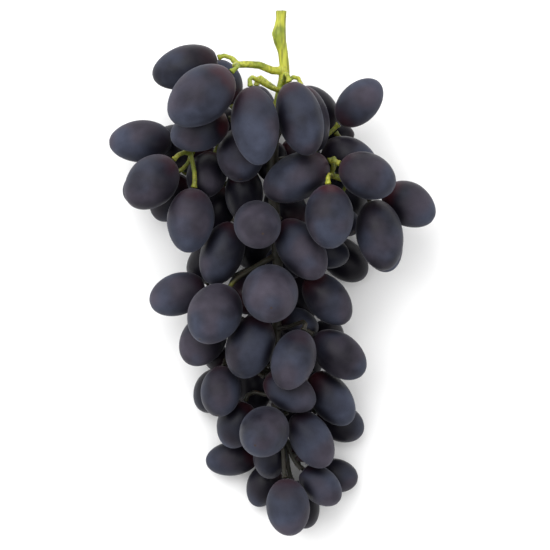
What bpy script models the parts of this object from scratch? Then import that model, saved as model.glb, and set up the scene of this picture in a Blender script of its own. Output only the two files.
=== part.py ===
"""A bunch of black table grapes, as picked and laid down on its back.

Run with: blender --background --python part.py

The bunch is the stem, which grew as one piece, and its berries, each a solid of its own. It lies
on the plane z = 0 with its cut end towards +Y and its fuller side towards +Z. The driving
dimensions are in metres. The planting plan and the working that spreads the berries are in
millimetres, because berries are measured in millimetres; MM turns them into metres.

The order of work: read the plan, ease the berries apart until none touch, find the free ways
between them for the stem, then make the solids.
"""

import heapq
import math

import bmesh
import bpy
import numpy as np
from mathutils import Matrix, Vector

MM = 0.001

# ---------------------------------------------------------------- driving dimensions
FRUIT_LENGTH = 188 * MM  # the berries alone, along +Y, as planted
FRUIT_WIDTH = 124 * MM  # across the shoulders, along +X, as planted
FRUIT_DEPTH = 70 * MM  # from the table to the top of the highest berries, as planted
BERRY_LENGTH = 30 * MM  # a large berry from its seat to its tip
BERRY_DIAMETER = 20 * MM  # a large berry at its middle
STALK_LENGTH = 24 * MM  # the stalk from its first fork to the cut
STALK_DIAMETER = 4.2 * MM  # the stalk where it was cut
LATERAL_DIAMETER = 3.2 * MM  # a shoulder branch where it leaves the main stem
PEDICEL_DIAMETER = 1.7 * MM  # the last thread of stem, which carries one berry
SEAT_DIAMETER = 3.6 * MM  # the shallow seat at a berry's stem end
SEAT_DEPTH = 0.7 * MM  # how deep that seat is
CLEARANCE = 0.3 * MM  # the least gap between any two solids
PRESS = 0.6 * MM  # how far the weight flattens a berry that the bunch lies on

# ---------------------------------------------------------------- what the plan was drawn for
PLAN_LENGTH, PLAN_WIDTH, PLAN_DEPTH = 188.0, 124.0, 70.0
PLAN_BERRY_LENGTH, PLAN_BERRY_DIAMETER, PLAN_STALK_LENGTH = 30.0, 20.0, 24.0
FORK_Y = 76.3  # where the stalk forks for the first time
FLOOR = None  # in the plan: this berry lies on the table
DEEP, ON_SHOW = 22.0, 42.0  # berries this low in the plan give way freely, those this high hold on

# The planting plan, one row a berry: x, y and height of its middle; the way its tip points, in
# degrees round from +X and then degrees up; its length and its diameter.
PLAN = {
    "left_shoulder": [
        (-34.0, 78.6, 42, 197, 5, 26.0, 16.8),
        (-27.2, 66.6, 59, 219, 8, 29.5, 21.5),
        (-19.5, 73.2, 30, 110, -15, 19.0, 14.5),
        (-50.8, 49.0, 24, 183, 0, 25.0, 17.0),
        (-46.7, 35.0, 41, 226, 12, 24.5, 19.5),
        (-46.8, 36.0, 23, 205, -5, 22.5, 16.0),
        (-40.5, 30.0, FLOOR, 240, -10, 21.0, 16.0),
        (-26.4, 53.6, 41, 200, 5, 23.5, 17.0),
        (-27.8, 41.5, 31, 250, 40, 21.0, 15.8),
        (-31.0, 20.8, 37, 264, 8, 25.3, 18.6),
        (-28.0, 66.0, FLOOR, 200, -20, 24.0, 16.5),
    ],
    "crown": [
        (-11.4, 47.6, 38, 270, 30, 22.5, 19.0),
        (-6.9, 56.4, 57, 277, 8, 30.4, 18.5),
        (8.4, 58.8, 54, 286, 8, 29.2, 17.5),
        (10.2, 59.0, 35, 284, 5, 27.0, 16.5),
        (16.0, 63.0, 18, 130, 0, 22.0, 15.5),
        (8.7, 37.6, 41, 207, 10, 27.8, 18.3),
        (-12.0, 31.0, 25, 270, -10, 22.0, 15.0),
        (-7.5, 60.5, FLOOR, 268, -15, 25.5, 17.0),
        (11.0, 42.0, FLOOR, 300, -15, 25.0, 17.0),
    ],
    "right_shoulder": [
        (32.4, 64.6, 30, 46, 12, 23.0, 16.0),
        (28.0, 46.4, 30, 340, 0, 23.0, 16.0),
        (34.0, 36.9, 47, 335, 15, 23.3, 17.8),
        (20.4, 22.0, 53, 272, 15, 25.3, 19.0),
        (39.7, 15.1, 40, 280, 8, 28.0, 18.5),
        (41.0, 13.3, 21, 285, -10, 25.0, 17.0),
        (50.6, 26.4, 28, 330, 0, 22.6, 17.6),
        (26.5, 6.0, FLOOR, 320, -10, 22.0, 15.5),
        (19.5, 9.0, 21, 345, 5, 19.0, 13.5),
    ],
    "heart": [
        (-6.6, 18.9, 50, 300, 72, 26.5, 18.2),
        (-19.3, 7.0, 37, 249, 5, 25.5, 16.5),
        (8.4, 10.0, 34, 305, 10, 27.5, 18.0),
        (-24.4, 5.0, 18, 215, -10, 22.0, 17.0),
        (-37.0, -7.2, 26, 201, 0, 23.0, 16.6),
        (-2.0, -7.3, 47, 275, 68, 28.5, 21.7),
        (-23.7, -13.8, 44, 240, 30, 25.5, 20.5),
        (19.8, -10.0, 29, 311, 0, 24.8, 17.0),
        (8.0, -9.0, FLOOR, 290, -5, 23.0, 16.0),
        (-9.0, 14.0, FLOOR, 270, -15, 25.0, 17.0),
    ],
    "waist": [
        (-27.0, -25.2, 25, 235, 10, 22.0, 17.3),
        (-9.2, -27.5, 37, 250, 12, 25.5, 18.6),
        (6.6, -32.3, 41, 251, 15, 24.3, 17.0),
        (24.2, -30.2, 27, 322, 5, 25.0, 17.4),
        (-20.6, -44.8, 27, 262, 20, 20.8, 16.2),
        (-22.4, -44.6, FLOOR, 240, 0, 18.5, 15.0),
        (-9.5, -43.0, FLOOR, 270, -10, 21.0, 15.0),
        (4.6, -44.5, 27, 330, 5, 22.3, 15.5),
        (21.0, -47.3, 22, 308, 5, 24.5, 15.8),
        (25.0, -56.8, FLOOR, 335, -5, 20.0, 15.0),
    ],
    "tail": [
        (-15.3, -56.3, 21, 250, 0, 19.0, 15.5),
        (-4.1, -59.5, 38, 235, 62, 25.5, 19.3),
        (14.3, -63.6, 27, 300, 10, 25.0, 16.6),
        (-16.0, -71.0, FLOOR, 188, 0, 21.0, 13.5),
        (1.6, -70.5, 20, 270, 0, 17.5, 14.0),
        (-4.0, -80.0, FLOOR, 245, -5, 18.0, 13.8),
        (3.8, -88.0, 25, 276, 15, 22.8, 17.2),
        (16.4, -76.5, 19, 318, 0, 19.5, 14.2),
        (22.3, -77.8, FLOOR, 350, 0, 18.5, 13.5),
        (9.5, -88.3, FLOOR, 290, -5, 19.5, 14.5),
    ],
}

# The main stem from the cut down to its last fork: x, y, height, and how thick it is as a share
# of the stalk's diameter. It swells where a leaf grew, and again where the shoulders branch off.
RACHIS = [
    (2.3, 100.3, 38.0, 1.00),
    (2.3, 97.5, 37.9, 0.90),
    (2.0, 95.0, 37.8, 0.98),
    (1.4, 91.5, 37.6, 1.28),
    (1.9, 88.5, 37.4, 1.12),
    (2.9, 85.0, 37.1, 0.88),
    (3.6, 79.0, 36.8, 0.86),
    (3.4, 74.0, 36.4, 1.00),
    (1.0, 62.0, 36.0, 1.08),
    (-1.0, 50.0, 36.0, 1.08),
    (-1.0, 36.0, 34.0, 1.02),
    (0.0, 20.0, 32.0, 0.98),
    (1.0, 5.0, 29.0, 0.92),
    (1.0, -12.0, 26.0, 0.84),
    (0.0, -28.0, 23.0, 0.76),
    (-1.0, -42.0, 22.0, 0.68),
    (1.0, -54.0, 21.0, 0.58),
    (2.0, -60.0, 21.0, 0.50),
]
# The shoulder branches that leave it in the open, drawn by hand: x, y, height.
LATERALS = [
    [(3.6, 77.5, 36.7), (-1, 77.5, 38.5), (-6, 79.5, 40.5), (-11, 79.8, 41.5), (-15.5, 79.5, 41.5)],
    [(-1, 43, 35), (6, 44, 29), (13, 41.5, 29), (19.5, 38.8, 33), (21, 38, 36)],
    [(-0.5, 53, 36), (-8, 53.5, 28.5), (-16, 51.5, 25.5), (-25, 50, 26), (-33, 48, 30.5)],
]

STEPS_ROUND = 12  # flats round a berry
RINGS = (30, 60, 90, 120, 150)  # where its rings lie, in degrees from the stem end to the tip
STALK_SIDES, SIDES = 10, 6  # flats round the main stem, and round a pedicel
TURNS = (0, 11, 23, 37, 49)  # how far those flats may be turned, in degrees, tried in this order
CELL = 1.8  # mm, the cells in which the free ways are found


# ---------------------------------------------------------------- reading the plan
def to_place(rows):
    """Plan points in mm, spread to the size that is being made."""
    rows = np.array(rows, float)
    rows[:, 0] *= FRUIT_WIDTH / (PLAN_WIDTH * MM)
    rows[:, 1] *= FRUIT_LENGTH / (PLAN_LENGTH * MM)
    rows[:, 2] *= FRUIT_DEPTH / (PLAN_DEPTH * MM)
    return rows


def rachis_to_place():
    """The main stem in mm. Above its first fork it is as long as the stalk is."""
    rows = to_place(RACHIS)
    beyond = np.array([max(row[1] - FORK_Y, 0.0) for row in RACHIS])
    spread = FRUIT_LENGTH / (PLAN_LENGTH * MM)
    rows[:, 1] += beyond * (STALK_LENGTH / (PLAN_STALK_LENGTH * MM) - spread)
    return rows


class Berries:
    """All the berries as arrays, in mm."""

    def __init__(self):
        rows = []
        self.names = []
        for region, part in PLAN.items():
            for number, row in enumerate(part, 1):
                rows.append(row)
                self.names.append(f"{region}_berry_{number:02d}")
        self.floor = np.array([row[2] is FLOOR for row in rows])
        numbers = np.array([[0.0 if v is FLOOR else float(v) for v in row] for row in rows])
        turn, rise = np.radians(numbers[:, 3]), np.radians(numbers[:, 4])
        flat = np.cos(rise)
        self.axis = np.stack([flat * np.cos(turn), flat * np.sin(turn), np.sin(rise)], 1)
        self.length = numbers[:, 5] * BERRY_LENGTH / (PLAN_BERRY_LENGTH * MM)
        self.diameter = numbers[:, 6] * BERRY_DIAMETER / (PLAN_BERRY_DIAMETER * MM)
        self.shape = shapes(self.axis, self.length, self.diameter)
        self.reach_down = np.array([self.lowest(k) for k in range(len(rows))])
        self.wanted = to_place(numbers[:, :3])
        self.wanted[self.floor, 2] = (self.reach_down - PRESS / MM)[self.floor]
        self.show = np.clip((numbers[:, 2] - DEEP) / (ON_SHOW - DEEP), 0, 1)
        self.middle = self.wanted.copy()

    def turned(self, k):
        """The rotation of berry k: local +Z along its axis and local +X as low as it goes."""
        axis = Vector(self.axis[k])
        down = Vector((0, 0, -1)) - axis * Vector((0, 0, -1)).dot(axis)
        if down.length < 1e-6:
            down = Vector((1, 0, 0))
        down.normalize()
        return Matrix((down, axis.cross(down), axis)).transposed()

    def lowest(self, k):
        """How far the flats of berry k reach below its middle."""
        turned = self.turned(k)
        outline = profile(self.length[k], self.diameter[k])
        corners = [
            turned @ Vector((r * math.cos(a), r * math.sin(a), z))
            for r, z in outline
            for a in (2 * math.pi * s / STEPS_ROUND for s in range(STEPS_ROUND))
        ]
        return -min(corner.z for corner in corners)

    def stem_end(self, k, beyond=0.0):
        """The point on the axis of berry k this far beyond its stem end."""
        return self.middle[k] - self.axis[k] * (self.length[k] / 2 + beyond)


def profile(length, diameter):
    """Half the outline of a berry in mm, as (radius, height), from the seat to the tip."""
    seat = SEAT_DIAMETER / MM / 2
    rim = -length / 2 * math.sqrt(1 - (2 * seat / diameter) ** 2)
    outline = [(0.0, rim + SEAT_DEPTH / MM), (seat, rim)]
    for ring in RINGS:
        angle = math.radians(ring)
        outline.append((diameter / 2 * math.sin(angle), -length / 2 * math.cos(angle)))
    outline.append((0.0, length / 2))
    return outline


# ---------------------------------------------------------------- easing the berries apart
def shapes(axis, length, diameter):
    """The 3 x 3 matrix of each ellipsoid: half-widths squared along its own directions."""
    along = axis[:, :, None] * axis[:, None, :]
    across = np.eye(3)[None] - along
    return (diameter / 2)[:, None, None] ** 2 * across + (length / 2)[:, None, None] ** 2 * along


def gaps(apart, first, second, rounds=10):
    """The gap between two ellipsoids and the direction it is measured in, from first to second.

    apart is the vector between their middles. The direction is the normal that their contact
    would have, found by halving.
    """
    low, high = np.full(len(apart), 1e-3), np.full(len(apart), 1 - 1e-3)
    for _ in range(rounds):
        share = (low + high) / 2
        both = (1 - share)[:, None, None] * first + share[:, None, None] * second
        way = np.linalg.solve(both, apart[:, :, None])[:, :, 0]
        a = np.einsum("ij,ijk,ik->i", way, first, way)
        b = np.einsum("ij,ijk,ik->i", way, second, way)
        more = (1 - share) ** 2 * a - share**2 * b > 0
        low, high = np.where(more, share, low), np.where(more, high, share)
    way /= np.linalg.norm(way, axis=1)[:, None]
    a = np.sqrt(np.einsum("ij,ijk,ik->i", way, first, way))
    b = np.sqrt(np.einsum("ij,ijk,ik->i", way, second, way))
    return np.einsum("ij,ij->i", apart, way) - a - b, way


def along_line(points, step):
    """Points every so often along a line."""
    out = []
    for a, b in zip(points[:-1], points[1:]):
        parts = max(1, int(np.linalg.norm(b - a) / step))
        out += [a + (b - a) * k / parts for k in range(parts)]
    return out + [points[-1]]


def ease_apart(berries, stem_lines, rounds=420):
    """Moves the berries until no two touch and each leaves room for its stem and the main stem.

    Berries that lie on the table stay on it. Those on show keep their place more firmly than the
    ones underneath.
    """
    count = len(berries.names)
    keep = CLEARANCE / MM + 0.15
    sideways = 0.5 - 0.35 * berries.show
    ease = np.stack([sideways, sideways, np.ones(count)], 1)
    ease[berries.floor, 2] = 0
    ease = np.vstack([ease, np.zeros(3)])
    thread = PEDICEL_DIAMETER / MM / 2

    # the berries, then two small balls where each pedicel leaves, then balls along the stem
    owner, offset = list(range(count)), [np.zeros(3)] * count
    shape, is_berry = list(berries.shape), [True] * count
    for k in range(count):
        for beyond, radius in ((1.6, 2 * thread), (4.6, 1.65 * thread)):
            owner.append(k)
            offset.append(-berries.axis[k] * (berries.length[k] / 2 + beyond))
            shape.append(np.eye(3) * radius**2)
            is_berry.append(False)
    for line, radius in stem_lines:
        for point in along_line(line, 3.0):
            owner.append(-1)
            offset.append(point)
            shape.append(np.eye(3) * radius**2)
            is_berry.append(False)
    owner, offset, shape, is_berry = map(np.array, (owner, offset, shape, is_berry))
    reach = np.sqrt(np.linalg.eigvalsh(shape)[:, -1])
    one, two = np.triu_indices(len(owner), 1)
    real = (owner[one] != owner[two]) & (is_berry[one] | is_berry[two])
    one, two = one[real], two[real]
    place = np.vstack([berries.middle, np.zeros(3)])

    for step in range(rounds):
        at = place[owner] + offset
        if step % 8 == 0:
            near = np.linalg.norm(at[two] - at[one], axis=1) < reach[one] + reach[two] + 3
            a, b = one[near], two[near]
        gap, way = gaps(at[b] - at[a], shape[a], shape[b])
        short = gap < keep
        if not short.any():
            break
        first, second, way = owner[a[short]], owner[b[short]], way[short]
        give = np.einsum("ij,ij->i", way**2, ease[first] + ease[second]) + 1e-9
        push = (0.5 * np.minimum(keep - gap[short], 1.5) / give)[:, None]
        move = np.zeros_like(place)
        np.add.at(move, first, -ease[first] * way * push)
        np.add.at(move, second, ease[second] * way * push)
        move[-1] = 0
        place += move
        pull = 0.06 * max(0.0, 1 - step / (rounds * 0.45))
        place[:-1] += pull * (berries.wanted - place[:-1]) * (ease[:-1] > 0)
        above = ~berries.floor
        place[:-1, 2][above] = np.maximum(place[:-1, 2], berries.reach_down + 0.6)[above]
    berries.middle = place[:-1]


# ---------------------------------------------------------------- the free ways for the stem
def room(points, berries, skip=None):
    """How far each point is from the nearest berry, in mm, and which berry that is."""
    best = np.full(len(points), 99.0)
    which = np.full(len(points), -1)
    for k in range(len(berries.names)):
        if k == skip:
            continue
        off = points - berries.middle[k]
        near = np.einsum("ij,ij->i", off, off) < (berries.length[k] / 2 + 12) ** 2
        if not near.any():
            continue
        off = off[near]
        along = off @ berries.axis[k]
        across = np.sqrt(np.maximum(np.einsum("ij,ij->i", off, off) - along**2, 0))
        half, wide = berries.length[k] / 2, berries.diameter[k] / 2
        size = np.hypot(along / half, across / wide)
        slope = np.hypot(along / half**2, across / wide**2) + 1e-12
        gap = size * (size - 1) / slope
        gap = np.where(size < 0.05, -wide, gap)
        spot = np.flatnonzero(near)
        closer = gap < best[spot]
        best[spot[closer]] = gap[closer]
        which[spot[closer]] = k
    return best, which


def free_ways(berries, seeds):
    """The cheapest way from every free cell back to the main stem.

    A way costs more where it is tight and where it is out in the open, so that the stem stays
    inside the bunch. Returns the cells' places, the cell each one leads to, and what it costs.
    """
    low = np.minimum(berries.middle.min(0), seeds.min(0)) - 12
    high = np.maximum(berries.middle.max(0), seeds.max(0)) + 12
    low[2] = 1.5
    size = np.maximum(((high - low) / CELL).astype(int), 1) + 1
    index = np.indices(size).reshape(3, -1).T
    spot = low + index * CELL
    gap, _ = room(spot, berries)
    tight = PEDICEL_DIAMETER / MM / 2
    rate = 1 + 3.0 * np.clip((tight + 1.4 - gap) / 1.4, 0, 2) ** 2 + 0.9 * np.clip(gap - 3.2, 0, 8)
    rate = np.where(gap > tight * 0.85, rate, np.inf)
    stride = np.array([size[1] * size[2], size[2], 1])
    steps = [
        (int(np.dot(way, stride)), CELL * math.sqrt(sum(v * v for v in way)), way)
        for way in ((i, j, k) for i in (-1, 0, 1) for j in (-1, 0, 1) for k in (-1, 0, 1))
        if any(way)
    ]
    cost = np.full(len(spot), np.inf)
    lead = np.full(len(spot), -1)
    start = np.full(len(spot), -1)
    queue = []
    for n, seed in enumerate(seeds):
        cell = np.clip(np.rint((seed - low) / CELL).astype(int), 0, size - 1)
        flat = int(cell @ stride)
        if cost[flat] > 0:
            cost[flat] = 0.0
            start[flat] = n
            queue.append((0.0, flat))
    heapq.heapify(queue)
    index_list, rate_list, cost_list = index.tolist(), rate.tolist(), cost.tolist()
    last = (size - 1).tolist()
    while queue:
        price, here = heapq.heappop(queue)
        if price > cost_list[here]:
            continue
        i, j, k = index_list[here]
        rate_here = rate_list[here] if rate_list[here] < 1e6 else 12.0
        for jump, distance, (di, dj, dk) in steps:
            if not (0 <= i + di <= last[0] and 0 <= j + dj <= last[1] and 0 <= k + dk <= last[2]):
                continue
            there = here + jump
            if rate_list[there] > 1e6:
                continue
            total = price + distance * (rate_here + rate_list[there]) / 2
            if total < cost_list[there] - 1e-9:
                cost_list[there] = total
                lead[there] = here
                start[there] = start[here]
                heapq.heappush(queue, (total, there))
    return spot, lead, start, np.array(cost_list)


def grow_branches(berries, main_lines):
    """Every branch and pedicel as (points, radii) in mm, each from where it leaves its parent."""
    seeds = np.array([p for line in main_lines for p in along_line(line, CELL * 0.8)])
    spot, lead, start, cost = free_ways(berries, seeds)
    thread = PEDICEL_DIAMETER / MM / 2

    # one node for each cell on a way, one for each seed used, and two for each berry
    node_place, parent, fixed, cell_node, seed_node = [], [], [], {}, {}

    def node(place, leads_to, is_fixed):
        node_place.append(np.array(place, float))
        parent.append(leads_to)
        fixed.append(is_fixed)
        return len(node_place) - 1

    def node_of_cell(cell):
        chain = []
        while cell not in cell_node and lead[cell] >= 0:
            chain.append(cell)
            cell = int(lead[cell])
        if cell in cell_node:
            before = cell_node[cell]
        else:
            seed = int(start[cell])
            if seed not in seed_node:
                seed_node[seed] = node(seeds[seed], -1, True)
            before = seed_node[seed]
            cell_node[cell] = before
        for c in reversed(chain):
            before = cell_node[c] = node(spot[c], before, False)
        return before

    ends = []
    reachable = np.flatnonzero(np.isfinite(cost))
    for k in range(len(berries.names)):
        exit_point = berries.stem_end(k, 4.2)
        away = np.linalg.norm(spot[reachable] - exit_point, axis=1)
        behind = (spot[reachable] - berries.stem_end(k)) @ berries.axis[k] > -1.5
        score = cost[reachable] + 5 * away + np.where(away > 7, 1e3 * away, 0) + np.where(behind, 60, 0)
        cell = int(reachable[np.argmin(score)])
        out = node(exit_point, node_of_cell(cell), True)
        ends.append(node(berries.stem_end(k, 0.0), out, True))

    parent, fixed, place = np.array(parent), np.array(fixed), np.array(node_place)
    carried = np.zeros(len(place))
    for end in ends:
        while end >= 0:
            carried[end] += 1
            end = parent[end]
    children = [[] for _ in place]
    for n, p in enumerate(parent):
        if p >= 0:
            children[p].append(n)
    loose = np.flatnonzero(~fixed)
    wanted = np.minimum(thread * carried**0.4, 2.4 * thread)

    # draw the ways smooth, and keep them off the berries
    need = wanted + CLEARANCE / MM + 0.1
    for step in range(60):
        smooth = place.copy()
        for n in loose:
            weight = carried[children[n]]
            smooth[n] = (place[parent[n]] + weight @ place[children[n]] / weight.sum()) / 2
        place[loose] += 0.6 * (smooth[loose] - place[loose])
        for _ in range(3):
            gap, which = room(place[loose], berries)
            close = gap < need[loose]
            if not close.any():
                break
            nodes = loose[close]
            for n, k, g in zip(nodes, which[close], gap[close]):
                off = place[n] - berries.middle[k]
                along = off @ berries.axis[k]
                way = along * berries.axis[k] / (berries.length[k] / 2) ** 2
                way = way + (off - along * berries.axis[k]) / (berries.diameter[k] / 2) ** 2
                place[n] += way / np.linalg.norm(way) * min(0.5 * (need[n] - g), 0.6)

    # cut the tree into branches: at a fork the way that carries most goes on
    branches = []
    heads = [(n, c) for n in range(len(place)) if parent[n] < 0 for c in children[n]]
    while heads:
        n, c = heads.pop()
        line = [n, c]
        while children[c]:
            kids = sorted(children[c], key=lambda q: -carried[q])
            heads += [(c, q) for q in kids[1:]]
            c = kids[0]
            line.append(c)
        branches.append(line)
    made = []
    for line in branches:
        points, radii = place[line], wanted[line].copy()
        radii[0] = wanted[line[1]] if fixed[line[0]] else min(radii[0], radii[1])
        made.append(finish_branch(points, radii, berries, ends.index(line[-1]), thread))
    return made


def finish_branch(points, radii, berries, owner, thread):
    """Draws one branch with few points, rounds its bends, and fits it between the berries."""
    keep = [0, len(points) - 2, len(points) - 1]

    def split(a, b):
        if b - a < 2:
            return
        chord = points[b] - points[a]
        chord = chord / (np.linalg.norm(chord) + 1e-9)
        off = points[a + 1 : b] - points[a]
        away = np.linalg.norm(off - (off @ chord)[:, None] * chord, axis=1)
        n = int(np.argmax(away))
        if away[n] > 0.45:
            keep.append(a + 1 + n)
            split(a, a + 1 + n)
            split(a + 1 + n, b)

    split(0, len(points) - 2)
    keep = sorted(set(keep))
    points, radii = points[keep], radii[keep]

    # each bend becomes two points, a little before and a little after it
    bent, thick = [points[0]], [radii[0]]
    for a, b, c, radius in zip(points[:-2], points[1:-1], points[2:], radii[1:-1]):
        before, after = a - b, c - b
        one, two = np.linalg.norm(before), np.linalg.norm(after)
        bend = math.degrees(math.acos(np.clip(-before @ after / (one * two), -1, 1)))
        if bend < 15:
            bent.append(b)
            thick.append(radius)
        else:
            bent += [b + before * min(0.4, 2.2 / one), b + after * min(0.4, 2.2 / two)]
            thick += [radius, radius]
    bent.append(points[-1])
    thick.append(radii[-1])
    points, radii = np.array(bent), np.array(thick)

    # no thicker than the berries on the way leave room for
    left = np.linalg.norm(points - points[-1], axis=1)
    for n in range(len(points) - 1):
        way = points[n] + (points[n + 1] - points[n]) * np.linspace(0, 1, 6)[:, None]
        gap, _ = room(way, berries, skip=owner if left[n] < 5 else None)
        fits = max(gap.min() - CLEARANCE / MM, 0.45 * thread)
        radii[n : n + 2] = np.minimum(radii[n : n + 2], fits)

    # the end flares to carry the berry
    way = (points[-1] - points[-2]) / np.linalg.norm(points[-1] - points[-2])
    points = np.vstack([points[:-1], points[-1] - way * 1.2, points[-1]])
    flare = min(1.6 * thread, SEAT_DIAMETER / MM / 2 - 0.35)
    radii = np.concatenate([radii[:-1], [min(radii[-2], thread), flare]])
    return points, radii


# ---------------------------------------------------------------- making the solids
def sweep(mesh, points, radii, sides, turn):
    """Adds a closed round tube along a line to a bmesh. Lengths in metres, turn in degrees."""
    points = [Vector(p) for p in points]
    forward = [(b - a).normalized() for a, b in zip(points[:-1], points[1:])]
    between = [(a + b).normalized() for a, b in zip(forward[:-1], forward[1:])]
    tangents = [forward[0]] + between + [forward[-1]]
    side = tangents[0].orthogonal().normalized()
    rings = []
    for point, tangent, radius in zip(points, tangents, radii):
        side = (side - tangent * side.dot(tangent)).normalized()
        other = tangent.cross(side)
        ring = []
        for s in range(sides):
            angle = math.radians(turn) + 2 * math.pi * s / sides
            way = side * math.cos(angle) + other * math.sin(angle)
            ring.append(mesh.verts.new(point + way * radius))
        rings.append(ring)
    for a, b in zip(rings[:-1], rings[1:]):
        for s in range(sides):
            mesh.faces.new((a[s], a[(s + 1) % sides], b[(s + 1) % sides], b[s]))
    mesh.faces.new(list(reversed(rings[0])))
    mesh.faces.new(rings[-1])


def new_object(name, mesh, parent):
    obj = bpy.data.objects.new(name, mesh)
    bpy.context.scene.collection.objects.link(obj)
    obj.parent = parent
    return obj


def tube_object(name, tubes, sides, turn, parent):
    bm = bmesh.new()
    for points, radii in tubes:
        sweep(bm, np.array(points) * MM, np.array(radii) * MM, sides, turn)
    mesh = bpy.data.meshes.new(name)
    bm.to_mesh(mesh)
    bm.free()
    return new_object(name, mesh, parent)


def make_helper(obj):
    obj.hide_render = True
    obj.display_type = "WIRE"


def make_berry(berries, k, table, parent):
    """Berry k: its outline turned round its axis, and pressed flat where it lies on the table."""
    outline = [(r * MM, 0.0, z * MM) for r, z in profile(berries.length[k], berries.diameter[k])]
    mesh = bpy.data.meshes.new(berries.names[k])
    mesh.from_pydata(outline, [(a, a + 1) for a in range(len(outline) - 1)], [])
    berry = new_object(berries.names[k], mesh, parent)
    berry.matrix_local = Matrix.Translation(Vector(berries.middle[k] * MM)) @ berries.turned(k).to_4x4()
    turn = berry.modifiers.new("turned", "SCREW")
    turn.axis = "Z"
    turn.steps = turn.render_steps = STEPS_ROUND
    turn.use_merge_vertices = True
    turn.merge_threshold = 0.00005
    turn.use_normal_calculate = True
    if berries.floor[k]:
        pressed = berry.modifiers.new("pressed on the table", "BOOLEAN")
        pressed.operation = "DIFFERENCE"
        pressed.solver = "EXACT"
        pressed.object = table
    return berry


def make_table(parent):
    """The helper that presses the lowest berries flat: a slab whose top is z = 0."""
    bm = bmesh.new()
    bmesh.ops.create_cube(bm, size=1.0)
    bmesh.ops.scale(bm, vec=(2.5 * FRUIT_WIDTH, 2.0 * FRUIT_LENGTH, 0.02), verts=bm.verts)
    bmesh.ops.translate(bm, vec=(0, 0, -0.01), verts=bm.verts)
    mesh = bpy.data.meshes.new("table_helper")
    bm.to_mesh(mesh)
    bm.free()
    table = new_object("table_helper", mesh, parent)
    make_helper(table)
    return table


def make_stem(rachis, branches, parent):
    """The main stem with its shoulder branches and pedicels grown on: one solid.

    Where flats of two tubes happen to meet edge to edge, the union can leave an edge with four
    faces. Then the tubes are made again with their flats turned a little.
    """
    for turn in TURNS:
        stem = tube_object("stem", [rachis], STALK_SIDES, turn, parent)
        grown = tube_object("branches_helper", branches, SIDES, turn, parent)
        join = stem.modifiers.new("grown together", "BOOLEAN")
        join.operation = "UNION"
        join.solver = "EXACT"
        join.use_self = True
        join.object = grown
        fill_voids(stem)
        bpy.data.objects.remove(grown)
        if every_edge_has_two_faces(stem.data):
            break
        if turn != TURNS[-1]:
            bpy.data.objects.remove(stem)
    return stem


def every_edge_has_two_faces(mesh):
    faces_at = np.zeros(len(mesh.edges), int)
    edges = np.zeros(len(mesh.loops), int)
    mesh.loops.foreach_get("edge_index", edges)
    np.add.at(faces_at, edges, 1)
    return bool((faces_at == 2).all())


def fill_voids(stem):
    """Makes the joined stem one plain mesh, and fills the small voids that crossing pedicels close
    off inside it. A void is a shell of its own whose faces look inwards."""
    graph = bpy.context.evaluated_depsgraph_get()
    joined = bpy.data.meshes.new_from_object(stem.evaluated_get(graph))
    joined.name = "stem"
    stem.modifiers.clear()
    bm = bmesh.new()
    bm.from_mesh(joined)
    waiting = set(bm.verts)
    while waiting:
        shell, edge_of_shell = set(), [waiting.pop()]
        while edge_of_shell:
            vertex = edge_of_shell.pop()
            shell.add(vertex)
            for edge in vertex.link_edges:
                other = edge.other_vert(vertex)
                if other in waiting:
                    waiting.discard(other)
                    edge_of_shell.append(other)
        volume = 0.0
        for face in {face for vertex in shell for face in vertex.link_faces}:
            first, *rest = [vertex.co for vertex in face.verts]
            volume += sum(first.dot(a.cross(b)) for a, b in zip(rest[:-1], rest[1:]))
        if volume < 0:
            bmesh.ops.delete(bm, geom=list(shell), context="VERTS")
            waiting = {vertex for vertex in waiting if vertex.is_valid}
    bm.to_mesh(joined)
    bm.free()
    stem.data = joined


def put_at_origin(root, solids):
    """Shifts the whole bunch so that the middle of its footprint is the origin."""
    bpy.context.view_layer.update()
    graph = bpy.context.evaluated_depsgraph_get()
    low, high = Vector((9, 9, 9)), Vector((-9, -9, -9))
    for solid in solids:
        shown = solid.evaluated_get(graph)
        mesh = shown.to_mesh()
        for vertex in mesh.vertices:
            at = shown.matrix_world @ vertex.co
            low = Vector(map(min, low, at))
            high = Vector(map(max, high, at))
        shown.to_mesh_clear()
    root.location = (-(low.x + high.x) / 2, -(low.y + high.y) / 2, -low.z)
    print("size in mm:", *(round(v / MM, 1) for v in high - low))
    print("moved by, in mm:", *(round(v / MM, 2) for v in root.location))


def main():
    for obj in list(bpy.data.objects):
        bpy.data.objects.remove(obj)
    stalk = STALK_DIAMETER / MM / 2
    rachis = rachis_to_place()
    inside = rachis[[row[1] <= FORK_Y for row in RACHIS], :3]  # below the first fork
    laterals = [to_place(line) for line in LATERALS]
    lateral_radius = LATERAL_DIAMETER / MM / 2

    berries = Berries()
    lines = [(inside, stalk + CLEARANCE / MM)]
    lines += [(line, lateral_radius + CLEARANCE / MM) for line in laterals]
    ease_apart(berries, lines)
    branches = grow_branches(berries, [inside] + laterals)

    root = bpy.data.objects.new("bunch", None)
    bpy.context.scene.collection.objects.link(root)
    table = make_table(root)
    solids = [make_berry(berries, k, table, root) for k in range(len(berries.names))]
    tapered = [(line, np.linspace(1.0, 0.75, len(line)) * lateral_radius) for line in laterals]
    solids.append(make_stem((rachis[:, :3], rachis[:, 3] * stalk), tapered + branches, root))
    put_at_origin(root, solids)


if __name__ == "__main__":
    main()
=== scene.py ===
# %% [markdown]
# # A bunch of black grapes
#
# The bunch lies on its back on a pale floor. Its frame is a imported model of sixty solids: one stem
# and fifty-nine berries, all where they belong, all of them plain. This file gives them their
# looks. A berry becomes a smooth skin with a seat, a scar and a waxy bloom, and the stem becomes a
# living green shoot. Nothing changes size or place, because the plain solids are what the bunch
# weighs, rolls and rests on.
#
# Lengths are in metres throughout, and MM turns millimetres into them.

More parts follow.
